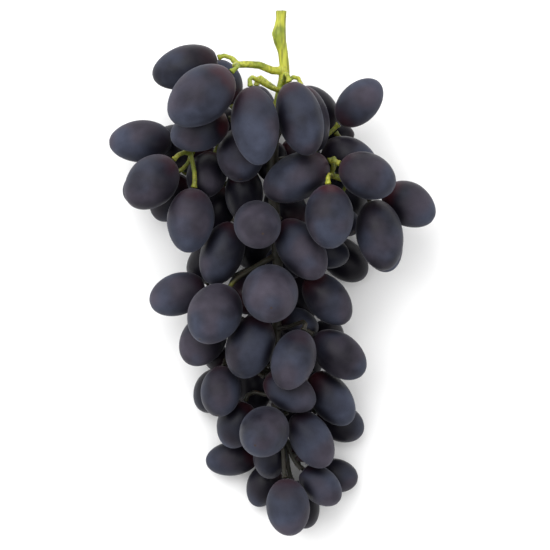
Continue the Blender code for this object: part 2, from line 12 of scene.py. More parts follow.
# %% Load the frame
import math

import bmesh
import bpy
import numpy as np
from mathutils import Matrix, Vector
from mathutils.bvhtree import BVHTree


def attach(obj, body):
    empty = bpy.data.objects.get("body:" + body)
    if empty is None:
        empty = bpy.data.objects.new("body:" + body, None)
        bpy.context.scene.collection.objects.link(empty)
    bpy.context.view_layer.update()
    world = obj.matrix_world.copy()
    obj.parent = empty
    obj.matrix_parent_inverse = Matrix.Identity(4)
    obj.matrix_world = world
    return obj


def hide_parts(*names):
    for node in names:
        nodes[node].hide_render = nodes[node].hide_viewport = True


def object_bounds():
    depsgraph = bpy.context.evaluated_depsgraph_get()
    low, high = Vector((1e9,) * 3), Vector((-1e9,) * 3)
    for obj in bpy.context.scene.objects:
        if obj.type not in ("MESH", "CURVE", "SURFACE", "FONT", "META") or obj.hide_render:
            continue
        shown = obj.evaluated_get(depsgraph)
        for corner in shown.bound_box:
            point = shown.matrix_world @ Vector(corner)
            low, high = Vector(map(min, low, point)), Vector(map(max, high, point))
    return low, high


MM = 0.001

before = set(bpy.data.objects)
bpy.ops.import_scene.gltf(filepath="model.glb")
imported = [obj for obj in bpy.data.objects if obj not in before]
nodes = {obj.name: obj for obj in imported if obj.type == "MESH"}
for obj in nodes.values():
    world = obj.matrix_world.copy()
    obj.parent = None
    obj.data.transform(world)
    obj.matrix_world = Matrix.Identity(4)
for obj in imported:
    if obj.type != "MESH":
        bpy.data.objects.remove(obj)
cad_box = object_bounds()
berry_nodes = sorted(name for name in nodes if "_berry_" in name)
print(len(berry_nodes), "berries and", len(nodes) - len(berry_nodes), "stem")
print("the bunch in mm:", [round((high - low) / MM, 1) for low, high in zip(*cad_box)])

# %% [markdown]
# ## The camera
#
# The bunch is looked at from straight above, so that it fills the view as a bunch held up does.
# A long lens from two metres away keeps the shoulders from looking larger than the tail. It looks
# at a point a millimetre beside the middle of the bunch.

# %% Camera
def new_object(name, data):
    """A new object in the scene, at the origin."""
    made = bpy.data.objects.new(name, data)
    bpy.context.scene.collection.objects.link(made)
    return made


VIEW_ACROSS = 209 * MM  # how much the view takes in from side to side, at half the bunch's height
CAMERA_HEIGHT = 2.2
SENSOR_WIDTH = 36.0  # of the camera, in mm
LOOK_AT = Vector((1.0 * MM, -0.5 * MM, 35 * MM))

camera_data = bpy.data.cameras.new("camera")
camera_data.sensor_width = SENSOR_WIDTH
camera_data.lens = SENSOR_WIDTH * (CAMERA_HEIGHT - LOOK_AT.z) / VIEW_ACROSS
camera_data.clip_end = 20.0
camera = new_object("camera", camera_data)
camera.location = (LOOK_AT.x, LOOK_AT.y, CAMERA_HEIGHT)
bpy.context.scene.camera = camera
print("lens", round(camera_data.lens), "mm")

# %% [markdown]
# ## Small helpers for node trees
#
# Both the shapes and the finishes below are node trees. These few helpers make a node, set or link
# its inputs and hand back its output, so that a tree can be read like a sum.

# %% Node helpers
def add(tree, kind, inputs=(), output=0, **settings):
    """Adds a node. inputs maps a socket's name or number to a value or to another node's output."""
    node = tree.nodes.new(kind)
    for key, value in settings.items():
        setattr(node, key, value)
    for key, value in dict(inputs).items():
        socket = node.inputs[key]
        if isinstance(value, bpy.types.NodeSocket):
            tree.links.new(value, socket)
        else:
            socket.default_value = value
    return node.outputs[output]


def sums(tree, operation, *values, clamp=False):
    return add(tree, "ShaderNodeMath", dict(enumerate(values)), operation=operation, use_clamp=clamp)


def vectors(tree, operation, *values, output=0):
    return add(tree, "ShaderNodeVectorMath", dict(enumerate(values)), output, operation=operation)


def ramp(tree, value, low, high, to_low=0.0, to_high=1.0):
    """A soft step: to_low below low, to_high above high."""
    inputs = {"Value": value, "From Min": low, "From Max": high, "To Min": to_low, "To Max": to_high}
    return add(tree, "ShaderNodeMapRange", inputs, interpolation_type="SMOOTHSTEP")


def noise(tree, place, scale, detail=1.0, roughness=0.5):
    inputs = {"Vector": place, "Scale": scale, "Detail": detail, "Roughness": roughness}
    return add(tree, "ShaderNodeTexNoise", inputs)


def split(tree, vector):
    """The x, y and z of a vector."""
    parts = tree.nodes.new("ShaderNodeSeparateXYZ")
    tree.links.new(vector, parts.inputs[0])
    return parts.outputs


def stored(tree, name):
    """A value stored on the piece's points."""
    return add(tree, "ShaderNodeAttribute", attribute_name=name, output=2)


def new_tree(name, inputs, takes_shape):
    """A Geometry Nodes tree with one shape out, and named inputs of (name, kind, default)."""
    tree = bpy.data.node_groups.new(name, "GeometryNodeTree")
    face = tree.interface
    face.new_socket("Geometry", in_out="OUTPUT", socket_type="NodeSocketGeometry")
    if takes_shape:
        face.new_socket("Geometry", in_out="INPUT", socket_type="NodeSocketGeometry")
    for title, kind, default in inputs:
        socket = face.new_socket(title, in_out="INPUT", socket_type="NodeSocket" + kind)
        if default is not None:
            socket.default_value = default
    return tree


def end_tree(tree, shape):
    tree.links.new(shape, tree.nodes.new("NodeGroupOutput").inputs[0])


def blend_colour(tree, share, first, second):
    inputs = {0: share, 6: first, 7: second}
    return add(tree, "ShaderNodeMix", inputs, 2, data_type="RGBA")


print("node helpers ready")

# %% [markdown]
# ## The floor and the light
#
# Black berries have little colour of their own. What shows their roundness is what they reflect:
# a bright, even surround that catches every edge, and one large soft window to the upper left.
# So the floor and the sky are both nearly white, the sky is brighter on the window's side, and
# the lamps are large.

# %% Floor, sky and lamps
FLOOR_COLOUR = (0.93, 0.93, 0.93, 1.0)
SKY_COLOUR = (1.0, 1.0, 1.0, 1.0)
SKY_TO_WINDOW = Vector((-0.62, 0.70, 0.35))  # the way the bright side of the room lies
SKY_DULL = 0.36
SKY_BRIGHT = 1.46
FLOOR_HALF = 4.0
LAMP_WIDTH = 1.5
WINDOW = (-0.55, 0.85, 1.6)
WINDOW_WATTS = 26.0
FILL = (0.9, -0.1, 1.4)
FILL_WATTS = 6.0

floor_mesh = bpy.data.meshes.new("floor")
signs = ((-1, -1), (1, -1), (1, 1), (-1, 1))
floor_corners = [(FLOOR_HALF * x, FLOOR_HALF * y, 0) for x, y in signs]
floor_mesh.from_pydata(floor_corners, [], [(0, 1, 2, 3)])
floor = new_object("floor", floor_mesh)
paper = bpy.data.materials.new("pale paper")
paper.use_nodes = True
paper_shader = paper.node_tree.nodes["Principled BSDF"]
paper_shader.inputs["Base Color"].default_value = FLOOR_COLOUR
paper_shader.inputs["Roughness"].default_value = 0.9
paper_shader.inputs["Specular IOR Level"].default_value = 0.1
floor_mesh.materials.append(paper)

world = bpy.data.worlds.new("sky")
world.use_nodes = True
sky = world.node_tree
background = sky.nodes["Background"]
background.inputs["Color"].default_value = SKY_COLOUR
way = add(sky, "ShaderNodeTexCoord", output="Generated")
facing = vectors(sky, "DOT_PRODUCT", way, SKY_TO_WINDOW.normalized(), output="Value")
limits = {"Value": facing, "From Min": -1.0, "To Min": SKY_DULL, "To Max": SKY_BRIGHT}
sky.links.new(add(sky, "ShaderNodeMapRange", limits), background.inputs["Strength"])
bpy.context.scene.world = world


def add_lamp(name, place, watts):
    """A square soft lamp, aimed at the bunch."""
    light = bpy.data.lights.new(name, "AREA")
    light.size = LAMP_WIDTH
    light.energy = watts
    lamp = new_object(name, light)
    lamp.location = place
    lamp.rotation_euler = (LOOK_AT - Vector(place)).to_track_quat("-Z", "Y").to_euler()


add_lamp("window", WINDOW, WINDOW_WATTS)
add_lamp("fill", FILL, FILL_WATTS)
bpy.context.scene.view_settings.view_transform = "Standard"
print("sky, window and fill")

# %% [markdown]
# ## Measuring the plain berries
#
# Each plain berry is an oval turned in flats, so nearly all of its corners lie exactly on one
# ellipsoid. An ellipsoid is a quadric: nine numbers, found by least squares from the corners. The
# few corners in the seat, and those pressed flat by the table, don't lie on it. They show as large
# misses, and a second fit leaves them out. What comes back is where the berry is, which way its
# tip points, and its two sizes.

# %% Fit an oval to a plain berry
ABOVE_TABLE = 0.02  # mm; corners lower than this were pressed flat


def corners_of(node):
    """The corners of a plain solid in mm, each once."""
    flat = np.empty(len(node.data.vertices) * 3)
    node.data.vertices.foreach_get("co", flat)
    return np.unique(flat.reshape(-1, 3).round(7), axis=0) / MM


def measure_berry(node):
    points = corners_of(node)
    middle = points.mean(0)
    near = points - middle
    x, y, z = near.T
    rows = np.stack([x * x, y * y, z * z, 2 * x * y, 2 * x * z, 2 * y * z, 2 * x, 2 * y, 2 * z], 1)
    off_table = points[:, 2] > ABOVE_TABLE
    fits = off_table
    for _ in range(4):
        form = np.linalg.lstsq(rows[fits], np.ones(fits.sum()), rcond=None)[0]
        miss = np.abs(rows @ form - 1)
        fits = off_table & (miss < max(3 * np.median(miss[fits]), 1e-3))
    xx, yy, zz, xy, xz, yz = form[:6]
    quadric = np.array([[xx, xy, xz], [xy, yy, yz], [xz, yz, zz]])
    offset = -np.linalg.solve(quadric, form[6:9])
    level = 1 + offset @ quadric @ offset
    values, ways = np.linalg.eigh(quadric / level)
    axis = ways[:, 0]
    inside = near[~fits & off_table] - offset
    if (inside @ axis).sum() > 0:
        axis = -axis
    length, diameter = 2 / math.sqrt(values[0]), 2 / math.sqrt(values[1:].mean())
    return {"middle": middle + offset, "axis": axis, "length": length, "diameter": diameter}


berries = {name: measure_berry(nodes[name]) for name in berry_nodes}
lengths = [berry["length"] for berry in berries.values()]
print("berries from", round(min(lengths), 1), "to", round(max(lengths), 1), "mm long")

# %% [markdown]
# ## The shape of a berry
#
# A table grape is an oval with three marks: the seat round its pedicel, the small corky scar at
# its tip where the flower's style fell off, and a surface that is never quite even, because seeds
# and neighbours push on it from inside and out. All berries follow this one rule, so the rule is
# a Geometry Nodes tree with the sizes as its inputs. It starts from a unit sphere whose poles are
# the two ends, and stores how far along and how far off the axis each point is, for the skin to
# use. The unevenness only goes inwards, so that a berry never grows into the next one.

# %% Geometry Nodes: one berry
SEAT_RADIUS = 2.7 * MM
SEAT_DEPTH = 0.42 * MM
SCAR_RADIUS = 0.85 * MM
SCAR_DEPTH = 0.22 * MM
OUTER_RINGS = 48  # rows of faces from end to end, for a berry of the frame
INNER_RINGS = 30


def square(tree, value):
    return sums(tree, "MULTIPLY", value, value)


def berry_tree():
    inputs = (
        ("Length", "Float", 28 * MM),
        ("Diameter", "Float", 19 * MM),
        ("Taper", "Float", 0.05),
        ("Unevenness", "Float", 0.5 * MM),
        ("Seed", "Float", 0.0),
        ("Rings", "Int", OUTER_RINGS),
        ("Place", "Vector", (0, 0, 0)),
        ("Turn", "Rotation", (0, 0, 0)),
        ("Skin", "Material", None),
    )
    tree = new_tree("Grape berry", inputs, takes_shape=False)
    given = tree.nodes.new("NodeGroupInput").outputs

    around = sums(tree, "MULTIPLY", given["Rings"], 1.5)
    sizes = {"Segments": around, "Rings": given["Rings"], "Radius": 1.0}
    ball = add(tree, "GeometryNodeMeshUVSphere", sizes)
    where = add(tree, "GeometryNodeInputPosition")
    x, y, along = split(tree, where)
    half_width = sums(tree, "MULTIPLY", given["Diameter"], 0.5)
    half_length = sums(tree, "MULTIPLY", given["Length"], 0.5)
    off_axis = sums(tree, "SQRT", sums(tree, "ADD", square(tree, x), square(tree, y)))
    off_axis = sums(tree, "MULTIPLY", off_axis, half_width)
    for name, value in (("along", along), ("off_axis", sums(tree, "DIVIDE", off_axis, MM))):
        marked = {"Geometry": ball, "Name": name, "Value": value}
        ball = add(tree, "GeometryNodeStoreNamedAttribute", marked)

    # narrower towards the tip, like an egg
    egg = sums(tree, "MULTIPLY", ramp(tree, along, -0.2, 1.0), given["Taper"])
    wide = sums(tree, "MULTIPLY", sums(tree, "SUBTRACT", 1.0, egg), half_width)

    # the seat sinks in at the stem end and the scar at the tip
    at_stem = ramp(tree, along, -0.7, -0.5, 1.0, 0.0)
    at_tip = ramp(tree, along, 0.7, 0.8)
    seat = ramp(tree, off_axis, 1.1 * MM, SEAT_RADIUS, SEAT_DEPTH, 0.0)
    scar = ramp(tree, off_axis, 0.25 * MM, SCAR_RADIUS, SCAR_DEPTH, 0.0)
    seat = sums(tree, "MULTIPLY", seat, at_stem)
    scar = sums(tree, "MULTIPLY", scar, at_tip)
    shift = sums(tree, "SUBTRACT", seat, scar)
    height = sums(tree, "ADD", sums(tree, "MULTIPLY", along, half_length), shift)
    oval = {0: sums(tree, "MULTIPLY", x, wide), 1: sums(tree, "MULTIPLY", y, wide), 2: height}
    oval = add(tree, "ShaderNodeCombineXYZ", oval)
    ball = add(tree, "GeometryNodeSetPosition", {"Geometry": ball, "Position": oval})

    # broad dents, pressed inwards, that leave both ends alone
    drift = add(tree, "ShaderNodeCombineXYZ", {0: given["Seed"], 1: given["Seed"], 2: 0.0})
    spot = vectors(tree, "ADD", where, drift)
    dents = noise(tree, spot, 0.85)
    body = ramp(tree, sums(tree, "ABSOLUTE", along), 0.75, 0.97, 1.0, 0.0)
    depth = sums(tree, "MULTIPLY", ramp(tree, dents, 0.25, 0.75), given["Unevenness"])
    depth = sums(tree, "MULTIPLY", sums(tree, "MULTIPLY", depth, body), -1.0)
    inwards = vectors(tree, "SCALE", add(tree, "GeometryNodeInputNormal"))
    tree.links.new(depth, inwards.node.inputs["Scale"])
    ball = add(tree, "GeometryNodeSetPosition", {"Geometry": ball, "Offset": inwards})
    settled = {"Geometry": ball, "Translation": given["Place"], "Rotation": given["Turn"]}
    ball = add(tree, "GeometryNodeTransform", settled)

    # where it lies on the table it is flat
    x, y, z = split(tree, add(tree, "GeometryNodeInputPosition"))
    raised = sums(tree, "MAXIMUM", z, ABOVE_TABLE * MM)
    pressed = add(tree, "ShaderNodeCombineXYZ", {0: x, 1: y, 2: raised})
    ball = add(tree, "GeometryNodeSetPosition", {"Geometry": ball, "Position": pressed})
    ball = add(tree, "GeometryNodeSetShadeSmooth", {"Geometry": ball})
    ball = add(tree, "GeometryNodeRealizeInstances", {"Geometry": ball})
    ball = add(tree, "GeometryNodeSetMaterial", {"Geometry": ball, "Material": given["Skin"]})
    end_tree(tree, ball)
    return tree


grape_tree = berry_tree()
print(len(grape_tree.nodes), "nodes make a berry")

# %% [markdown]
# ## The skin
#
# The skin of a black grape is nearly black, with wine red showing round the seat where it ripened
# last. Over it lies the bloom, a dust of wax that scatters light: it turns the black to slate
# blue, dulls every reflection and makes the edges glow a little, which is what sheen does in the
# shader. Bloom is patchy, and runs thicker in soft clouds a few millimetres across. It is rubbed
# off where a berry meets the next one or the table. It is also thinned in a fade out to 4.5 mm
# from them, and under many berries: both of these are painted shade. The finish is a mix of the
# two, with the share of bloom made from noise, from the stored distance along the berry, from how
# close the next berry is, and from how many berries lie over the point.

# %% Skin material
SKIN = (0.0035, 0.0028, 0.0058, 1.0)
WINE = (0.036, 0.0055, 0.008, 1.0)
BLOOM = (0.056, 0.065, 0.100, 1.0)
BLOOM_WARM = (0.064, 0.056, 0.077, 1.0)
CORK = (0.040, 0.026, 0.018, 1.0)


def spread_about(tree, value, amount):
    """A value that varies about 0.5, turned into one that varies about 0 by this much."""
    return sums(tree, "MULTIPLY", sums(tree, "SUBTRACT", value, 0.5), amount)


def make_skin():
    material = bpy.data.materials.new("grape skin with bloom")
    material.use_nodes = True
    tree = material.node_tree
    shader = tree.nodes["Principled BSDF"]
    place = add(tree, "ShaderNodeTexCoord", output=3)
    along = stored(tree, "along")
    off_axis = stored(tree, "off_axis")
    rub_and_shade = stored(tree, "rub_and_shade")
    tone = stored(tree, "tone")
    deep_painted_shade = stored(tree, "deep_painted_shade")
    red_end = stored(tree, "red_end")

    clouds = noise(tree, place, 95.0, detail=2.0, roughness=0.45)
    wisps = noise(tree, place, 420.0, detail=3.0, roughness=0.6)
    dust = noise(tree, place, 2600.0, detail=2.0, roughness=0.7)
    hue = noise(tree, place, 60.0)

    # how much bloom is left on the skin: clouds, wisps and dust, thickest at the tip
    thick = ramp(tree, clouds, 0.30, 0.70, 0.16, 0.44)
    thick = sums(tree, "ADD", thick, spread_about(tree, wisps, 0.16))
    thick = sums(tree, "ADD", thick, spread_about(tree, dust, 0.12))
    thick = sums(tree, "ADD", thick, spread_about(tree, tone, 0.22))
    thick = sums(tree, "MULTIPLY", thick, ramp(tree, along, -0.9, 0.95, 0.70, 1.45))
    # bloom rubbed off where berries meet, and painted shade in the fade out to 4.5 mm round them
    thick = sums(tree, "MULTIPLY", thick, ramp(tree, rub_and_shade, 0.0, 0.9, 1.08, 0.05))
    # painted shade under many berries: the bloom goes and the skin stays nearly black
    thick = sums(tree, "MULTIPLY", thick, ramp(tree, deep_painted_shade, 0.0, 1.0, 1.0, 0.05), clamp=True)

    # wine red round the seat, in tongues that reach along the berry
    ripe_line = sums(tree, "ADD", along, spread_about(tree, clouds, 0.8))
    wine = sums(tree, "MULTIPLY", ramp(tree, ripe_line, -0.98, -0.40), -1.0)
    wine = sums(tree, "MULTIPLY", sums(tree, "ADD", wine, 1.0), red_end)
    skin = blend_colour(tree, wine, SKIN, WINE)
    wax = blend_colour(tree, ramp(tree, hue, 0.40, 0.60), BLOOM, BLOOM_WARM)
    colour = blend_colour(tree, thick, skin, wax)

    # the corky scar at the tip
    scar = ramp(tree, off_axis, 0.30, 0.62, 0.85, 0.0)
    scar = sums(tree, "MULTIPLY", scar, ramp(tree, along, 0.7, 0.8))
    colour = blend_colour(tree, scar, colour, CORK)
    tree.links.new(colour, shader.inputs["Base Color"])

    rough = ramp(tree, thick, 0.05, 0.50, 0.42, 0.68)
    tree.links.new(rough, shader.inputs["Roughness"])
    grain = add(tree, "ShaderNodeBump", {"Strength": 0.10, "Distance": 0.00006, "Height": dust})
    swell = {"Strength": 0.25, "Distance": 0.0004, "Height": wisps, "Normal": grain}
    tree.links.new(add(tree, "ShaderNodeBump", swell), shader.inputs["Normal"])
    shader.inputs["Specular IOR Level"].default_value = 0.14
    shader.inputs["Sheen Weight"].default_value = 0.07
    shader.inputs["Sheen Roughness"].default_value = 0.38
    shader.inputs["Sheen Tint"].default_value = (0.80, 0.84, 1.0, 1.0)
    return material


skin = make_skin()
print(len(skin.node_tree.nodes), "nodes in the skin")

# %% [markdown]
# ## The berries inside
#
# The fifty-nine berries of the frame are the ones that show. A real bunch has more behind them,
# which close the view through to the table. They follow a rule. Look straight down through a grid
# of columns, and find those where the table or bare stem shows inside the bunch's outline. Then
# put the largest berry that fits, clear of all its neighbours, where it closes most of them, and
# do that again until nothing fits. Each also needs a free way for a pedicel to reach the stem.
#
# Room is tested at points spread over the berry, up to 4 mm apart. That keeps it clear of other
# berries, but a pedicel of the stem is thin enough to pass between two points, and some berries
# have one running into them.

# %% Ovals: how far from one, and how high its top is
def gap_to(points, oval):
    """How far points are outside an oval, in mm, and below 0 inside it."""
    off = points - oval["middle"]
    along = off @ oval["axis"]
    across = np.sqrt(np.maximum((off**2).sum(-1) - along**2, 0))
    half = oval["length"] / 2
    wide = oval["diameter"] / 2
    size = np.hypot(along / half, across / wide)
    return size * (size - 1) / np.maximum(np.hypot(along / half**2, across / wide**2), 1e-6)


def gap_to_all(points, ovals):
    gaps = [gap_to(points, oval) for oval in ovals]
    return np.min(gaps, axis=0) if gaps else np.full(len(points), 99.0)


def top_over(columns, oval):
    """How high an oval's top is at each column (x, y), and 0 beside the oval."""
    line = np.outer(oval["axis"], oval["axis"])
    spread = (oval["length"] / 2) ** 2 * line + (oval["diameter"] / 2) ** 2 * (np.eye(3) - line)
    form = np.linalg.inv(spread)
    off = columns - oval["middle"][:2]
    level = np.einsum("ij,jk,ik->i", off, form[:2, :2], off) - 1
    slope = off @ form[:2, 2]
    inside = slope**2 - form[2, 2] * level
    top = oval["middle"][2] + (np.sqrt(np.maximum(inside, 0)) - slope) / form[2, 2]
    return np.where(inside > 0, top, 0)


def even_ways(count, whole=True):
    """Directions spread evenly over a sphere, or over its upper half."""
    step = (np.arange(count) + 0.5) / count
    tilt = np.arccos(1 - (2 if whole else 1) * step)
    turn = math.pi * (1 + math.sqrt(5)) * np.arange(count)
    return np.stack([np.cos(turn) * np.sin(tilt), np.sin(turn) * np.sin(tilt), np.cos(tilt)], 1)


trial = {"middle": np.zeros(3), "axis": np.array([0, 0, 1.0]), "length": 28.0, "diameter": 18.0}
off_tip = gap_to(np.array([[0, 0, 15.0]]), trial).round(2)
print("a point 1 mm off a tip is measured as", off_tip, "mm off")

# %% The columns looked down
COLUMN = 1.3  # mm from one column to the next
BARE_STEM_SHOWS = 52  # mm along the bunch; above this line the bare stem is meant to show
ABOVE_ALL = 99  # mm up, over everything
OUTLINE_REACH = 12  # mm
OUTLINE_MARGIN = 12  # columns added round the grid

stem_node = nodes["stem"]
stem_corners = np.array([vertex.co for vertex in stem_node.data.vertices]) / MM
stem_faces = [tuple(face.vertices) for face in stem_node.data.polygons]
stem_shape = BVHTree.FromPolygons(stem_corners.tolist(), stem_faces)
box_low = np.array(cad_box[0]) / MM
box_high = np.array(cad_box[1]) / MM
across_x = np.arange(box_low[0], box_high[0], COLUMN)
across_y = np.arange(box_low[1], box_high[1], COLUMN)
columns = np.stack(np.meshgrid(across_x, across_y, indexing="ij"), -1).reshape(-1, 2)
berry_top = np.max([top_over(columns, oval) for oval in berries.values()], axis=0)


def stem_top_at(column):
    hit = stem_shape.ray_cast(Vector((column[0], column[1], ABOVE_ALL)), Vector((0, 0, -1)))
    return hit[0].z if hit[0] else 0.0


stem_top = np.array([stem_top_at(column) for column in columns])


def within_outline(covered):
    """True where berries are found within reach on at least seven of eight sides."""
    grid = np.pad(covered.reshape(len(across_x), len(across_y)), OUTLINE_MARGIN)
    sides = np.zeros(grid.shape, int)
    for step_x in (-1, 0, 1):
        for step_y in (-1, 0, 1):
            if step_x or step_y:
                reach = round(OUTLINE_REACH / COLUMN / math.hypot(step_x, step_y))
                steps = [(k * step_x, k * step_y) for k in range(1, reach + 1)]
                sides += np.any([np.roll(grid, step, (0, 1)) for step in steps], axis=0)
    kept = slice(OUTLINE_MARGIN, -OUTLINE_MARGIN)
    return (sides[kept, kept] >= 7).reshape(-1)


outline = within_outline(berry_top > 0) | (berry_top > 0)
see_table = outline & (berry_top == 0)
see_stem = outline & (stem_top > berry_top) & (columns[:, 1] < BARE_STEM_SHOWS)
print("of", outline.sum(), "columns,", see_table.sum(), "show the table and", see_stem.sum(), "the stem")

# %% Rules for an inner berry
MOST_INNER_BERRIES = 24
INNER_SIZES = ((18.5, 1.35), (16.5, 1.35), (14.5, 1.3), (12.5, 1.3), (10.5, 1.25))  # diameter, shape
INNER_TOP = 36  # mm; higher up they would show as berries too small for their place
INNER_CLEARANCE = 0.2
TABLE_CLEARANCE = 0.3
STEM_CLEARANCE = 0.45
PEDICEL_RADIUS = 0.62
PEDICEL_CLEARANCE = 0.2
PEDICEL_OFF_TABLE = 1.0
STEM_WEIGHT = 0.3  # closing a column counts 1, and these three are set against it
OUTSIDE_WEIGHT = 3
CROWD_WEIGHT = 0.08
TOO_HIGH = -99.0  # what a berry is worth that rises above INNER_TOP
LOOK_OUT = (5, 10, 16)  # mm from the seat, where the nearest bit of stem is looked for
LOOK_AROUND = 9.0
MOST_TARGETS = 30
BENDS = (3, 6)  # mm straight out of the seat before the pedicel turns
WAY_POINTS = 13

skin_points = even_ways(56)
tilts = even_ways(9, whole=False)


def oval_at(middle, axis, diameter, shape):
    return {"middle": middle, "axis": axis, "length": diameter * shape, "diameter": diameter}


def surface_of(oval):
    """Points spread over an oval."""
    along = skin_points @ oval["axis"]
    across = skin_points - along[:, None] * oval["axis"]
    spread = across * oval["diameter"] / 2 + (along * oval["length"] / 2)[:, None] * oval["axis"]
    return oval["middle"] + spread


def has_room(oval, others):
    """Whether spread points on an oval are clear of the table, the other ovals and the stem.

    What is thinner than the space between the points isn't noticed.
    """
    points = surface_of(oval)
    if points[:, 2].min() < TABLE_CLEARANCE:
        return False
    if (gap_to_all(points, others) < INNER_CLEARANCE).any():
        return False
    near = (stem_shape.find_nearest(Vector(point), STEM_CLEARANCE) for point in points)
    return all(found[0] is None for found in near)


def worth(oval, view):
    """How many open columns a berry closes, less what it would hide that ought to show."""
    over = top_over(view["columns"], oval)
    seen = over > np.maximum(view["top"], 0.01)
    if over.max() > INNER_TOP:
        return TOO_HIGH, 0
    closes = (seen & view["table"]).sum()
    covers = (seen & view["stem"] & (over > view["stem_top"])).sum()
    sticks_out = (seen & ~view["outline"]).sum()
    crowds = (seen & ~view["table"]).sum()
    value = closes + STEM_WEIGHT * covers - OUTSIDE_WEIGHT * sticks_out - CROWD_WEIGHT * crowds
    return value, closes + covers


def way_to_stem(oval, others):
    """A curved line from the berry's seat to the stem that clears every berry, and the tip's side."""
    best = None
    for tip in (1, -1):
        out = -tip * oval["axis"]
        seat = oval["middle"] + out * (oval["length"] / 2 - SEAT_DEPTH / MM)
        targets = set()
        for reach in LOOK_OUT:
            for way in even_ways(20):
                found = stem_shape.find_nearest(Vector(seat + way * reach), LOOK_AROUND)[0]
                if found:
                    targets.add(tuple(round(v, 1) for v in found))
        nearest = sorted(targets, key=lambda target: math.dist(target, seat))[:MOST_TARGETS]
        for target, reach in ((target, reach) for target in nearest for reach in BENDS):
            share = np.linspace(0, 1, WAY_POINTS)[:, None]
            bend = seat + out * reach
            line = (1 - share) ** 2 * seat + 2 * share * (1 - share) * bend
            line = line + share**2 * np.array(target)
            span = np.linalg.norm(np.diff(line, axis=0), axis=1).sum()
            if best and span >= best[0]:
                continue
            clear = gap_to_all(line[1:], others).min() > PEDICEL_RADIUS + PEDICEL_CLEARANCE
            leaves = gap_to(line[4:], oval).min() > 0.3
            if clear and leaves and line[:, 2].min() > PEDICEL_OFF_TABLE:
                best = (span, tip, line)
    return best


print("inner berries are", INNER_SIZES[-1][0], "to", INNER_SIZES[0][0], "mm thick")

# %% Fill the hollows
LEAST_HALF = 4.6  # mm that a middle needs free on every side
MOST_HALF = 14  # mm; beyond this a middle is outside the bunch
HEIGHTS = np.arange(5.5, 30, 2.5)
LONGEST_HALF = 13  # mm; no inner berry reaches further sideways
ROUNDS = 60
PROMISING = 48  # middles looked at in a round, of which every other one is tried
LEAST_WORTH = 2


def near_to(middle, ovals, reach):
    return [oval for oval in ovals if math.dist(middle, oval["middle"]) < reach]


def best_oval_at(middle, solid, state):
    """The oval with its middle here that is worth most, with what it is worth."""
    near = np.abs(columns - middle[:2]).max(1) < LONGEST_HALF
    view = {name: values[near] for name, values in state.items()}
    others = near_to(middle, solid, 31)
    best = (0.0, None)
    for axis in tilts:
        for diameter, shape in INNER_SIZES:
            oval = oval_at(middle, axis, diameter, shape)
            value, closes = worth(oval, view)
            if closes >= 3 and value > best[0] and has_room(oval, others):
                best = (value, oval)
    return best


def fill_hollows():
    solid = list(berries.values())
    state = {"columns": columns, "top": berry_top, "stem_top": stem_top, "outline": outline}
    state["table"] = see_table.copy()
    state["stem"] = see_stem.copy()
    grid = np.meshgrid(across_x[::2], across_y[::2], HEIGHTS, indexing="ij")
    middles = np.stack(grid, -1).reshape(-1, 3)
    free = gap_to_all(middles, solid)
    middles = middles[(free > LEAST_HALF) & (free < MOST_HALF)]
    inner = []
    for _ in range(ROUNDS):
        open_columns = columns[state["table"]]
        if len(middles) < 20 or len(open_columns) < 3 or len(inner) == MOST_INNER_BERRIES:
            break
        reach = np.clip(gap_to_all(middles, solid), 0, 9)
        away = np.linalg.norm(middles[:, None, :2] - open_columns[None], axis=2)
        promise = (away < 0.95 * reach[:, None]).sum(1)
        first = np.argsort(-promise, kind="stable")[:PROMISING:2]
        ranked = [(*best_oval_at(middles[k], solid, state), k) for k in first]
        value, oval, k = max(ranked, key=lambda item: item[0])
        if oval is None or value < LEAST_WORTH:
            middles = np.delete(middles, first, axis=0)
            continue
        way = way_to_stem(oval, near_to(oval["middle"], solid, 45))
        if way is None:
            middles = np.delete(middles, k, axis=0)
            continue
        oval["axis"] = oval["axis"] * way[1]
        oval["pedicel"] = way[2]
        solid.append(oval)
        inner.append(oval)
        over = top_over(columns, oval)
        state["table"] = state["table"] & (over == 0)
        state["stem"] = state["stem"] & (over < np.maximum(stem_top, 0.01))
        state["top"] = np.maximum(state["top"], over)
        middles = middles[gap_to(middles, oval) > LEAST_HALF]
    print("columns left open:", state["table"].sum())
    return inner


inner_berries = fill_hollows()
print(len(inner_berries), "inner berries", [round(oval["diameter"]) for oval in inner_berries])

# %% [markdown]
# ## Growing the berries
#
# Each berry is the one tree with its own sizes, place and turn, evaluated and kept as a plain mesh.
# Four more values are then written on its points, for the skin to use:
#
# - "touch" is one where the next berry or the table is within 0.3 mm, and nothing 4.5 mm away.
#   Bloom is rubbed off where they meet; the fade out to 4.5 mm is painted shade round the contact.
# - "deep" rises with the number of berries that lie over the point. It takes the bloom off and
#   leaves the skin black: this is painted shade inside the bunch.
# - "tone" is one number a berry, so that some are dustier than others.
# - "red_end" is one number a berry, for how much wine red it keeps round its seat.

# %% Helpers that run a tree and keep its mesh
def set_inputs(modifier, tree, values):
    """Sets a Geometry Nodes modifier's inputs by their names."""
    for item in tree.interface.items_tree:
        if item.item_type == "SOCKET" and item.in_out == "INPUT" and item.name in values:
            modifier[item.identifier] = values[item.name]


def as_plain_mesh(name, source):
    """Turns an object's evaluated shape into a new object with a plain mesh at the origin."""
    bpy.context.view_layer.update()
    graph = bpy.context.evaluated_depsgraph_get()
    mesh = bpy.data.meshes.new_from_object(source.evaluated_get(graph))
    mesh.name = name
    bpy.data.objects.remove(source)
    return new_object(name, mesh)


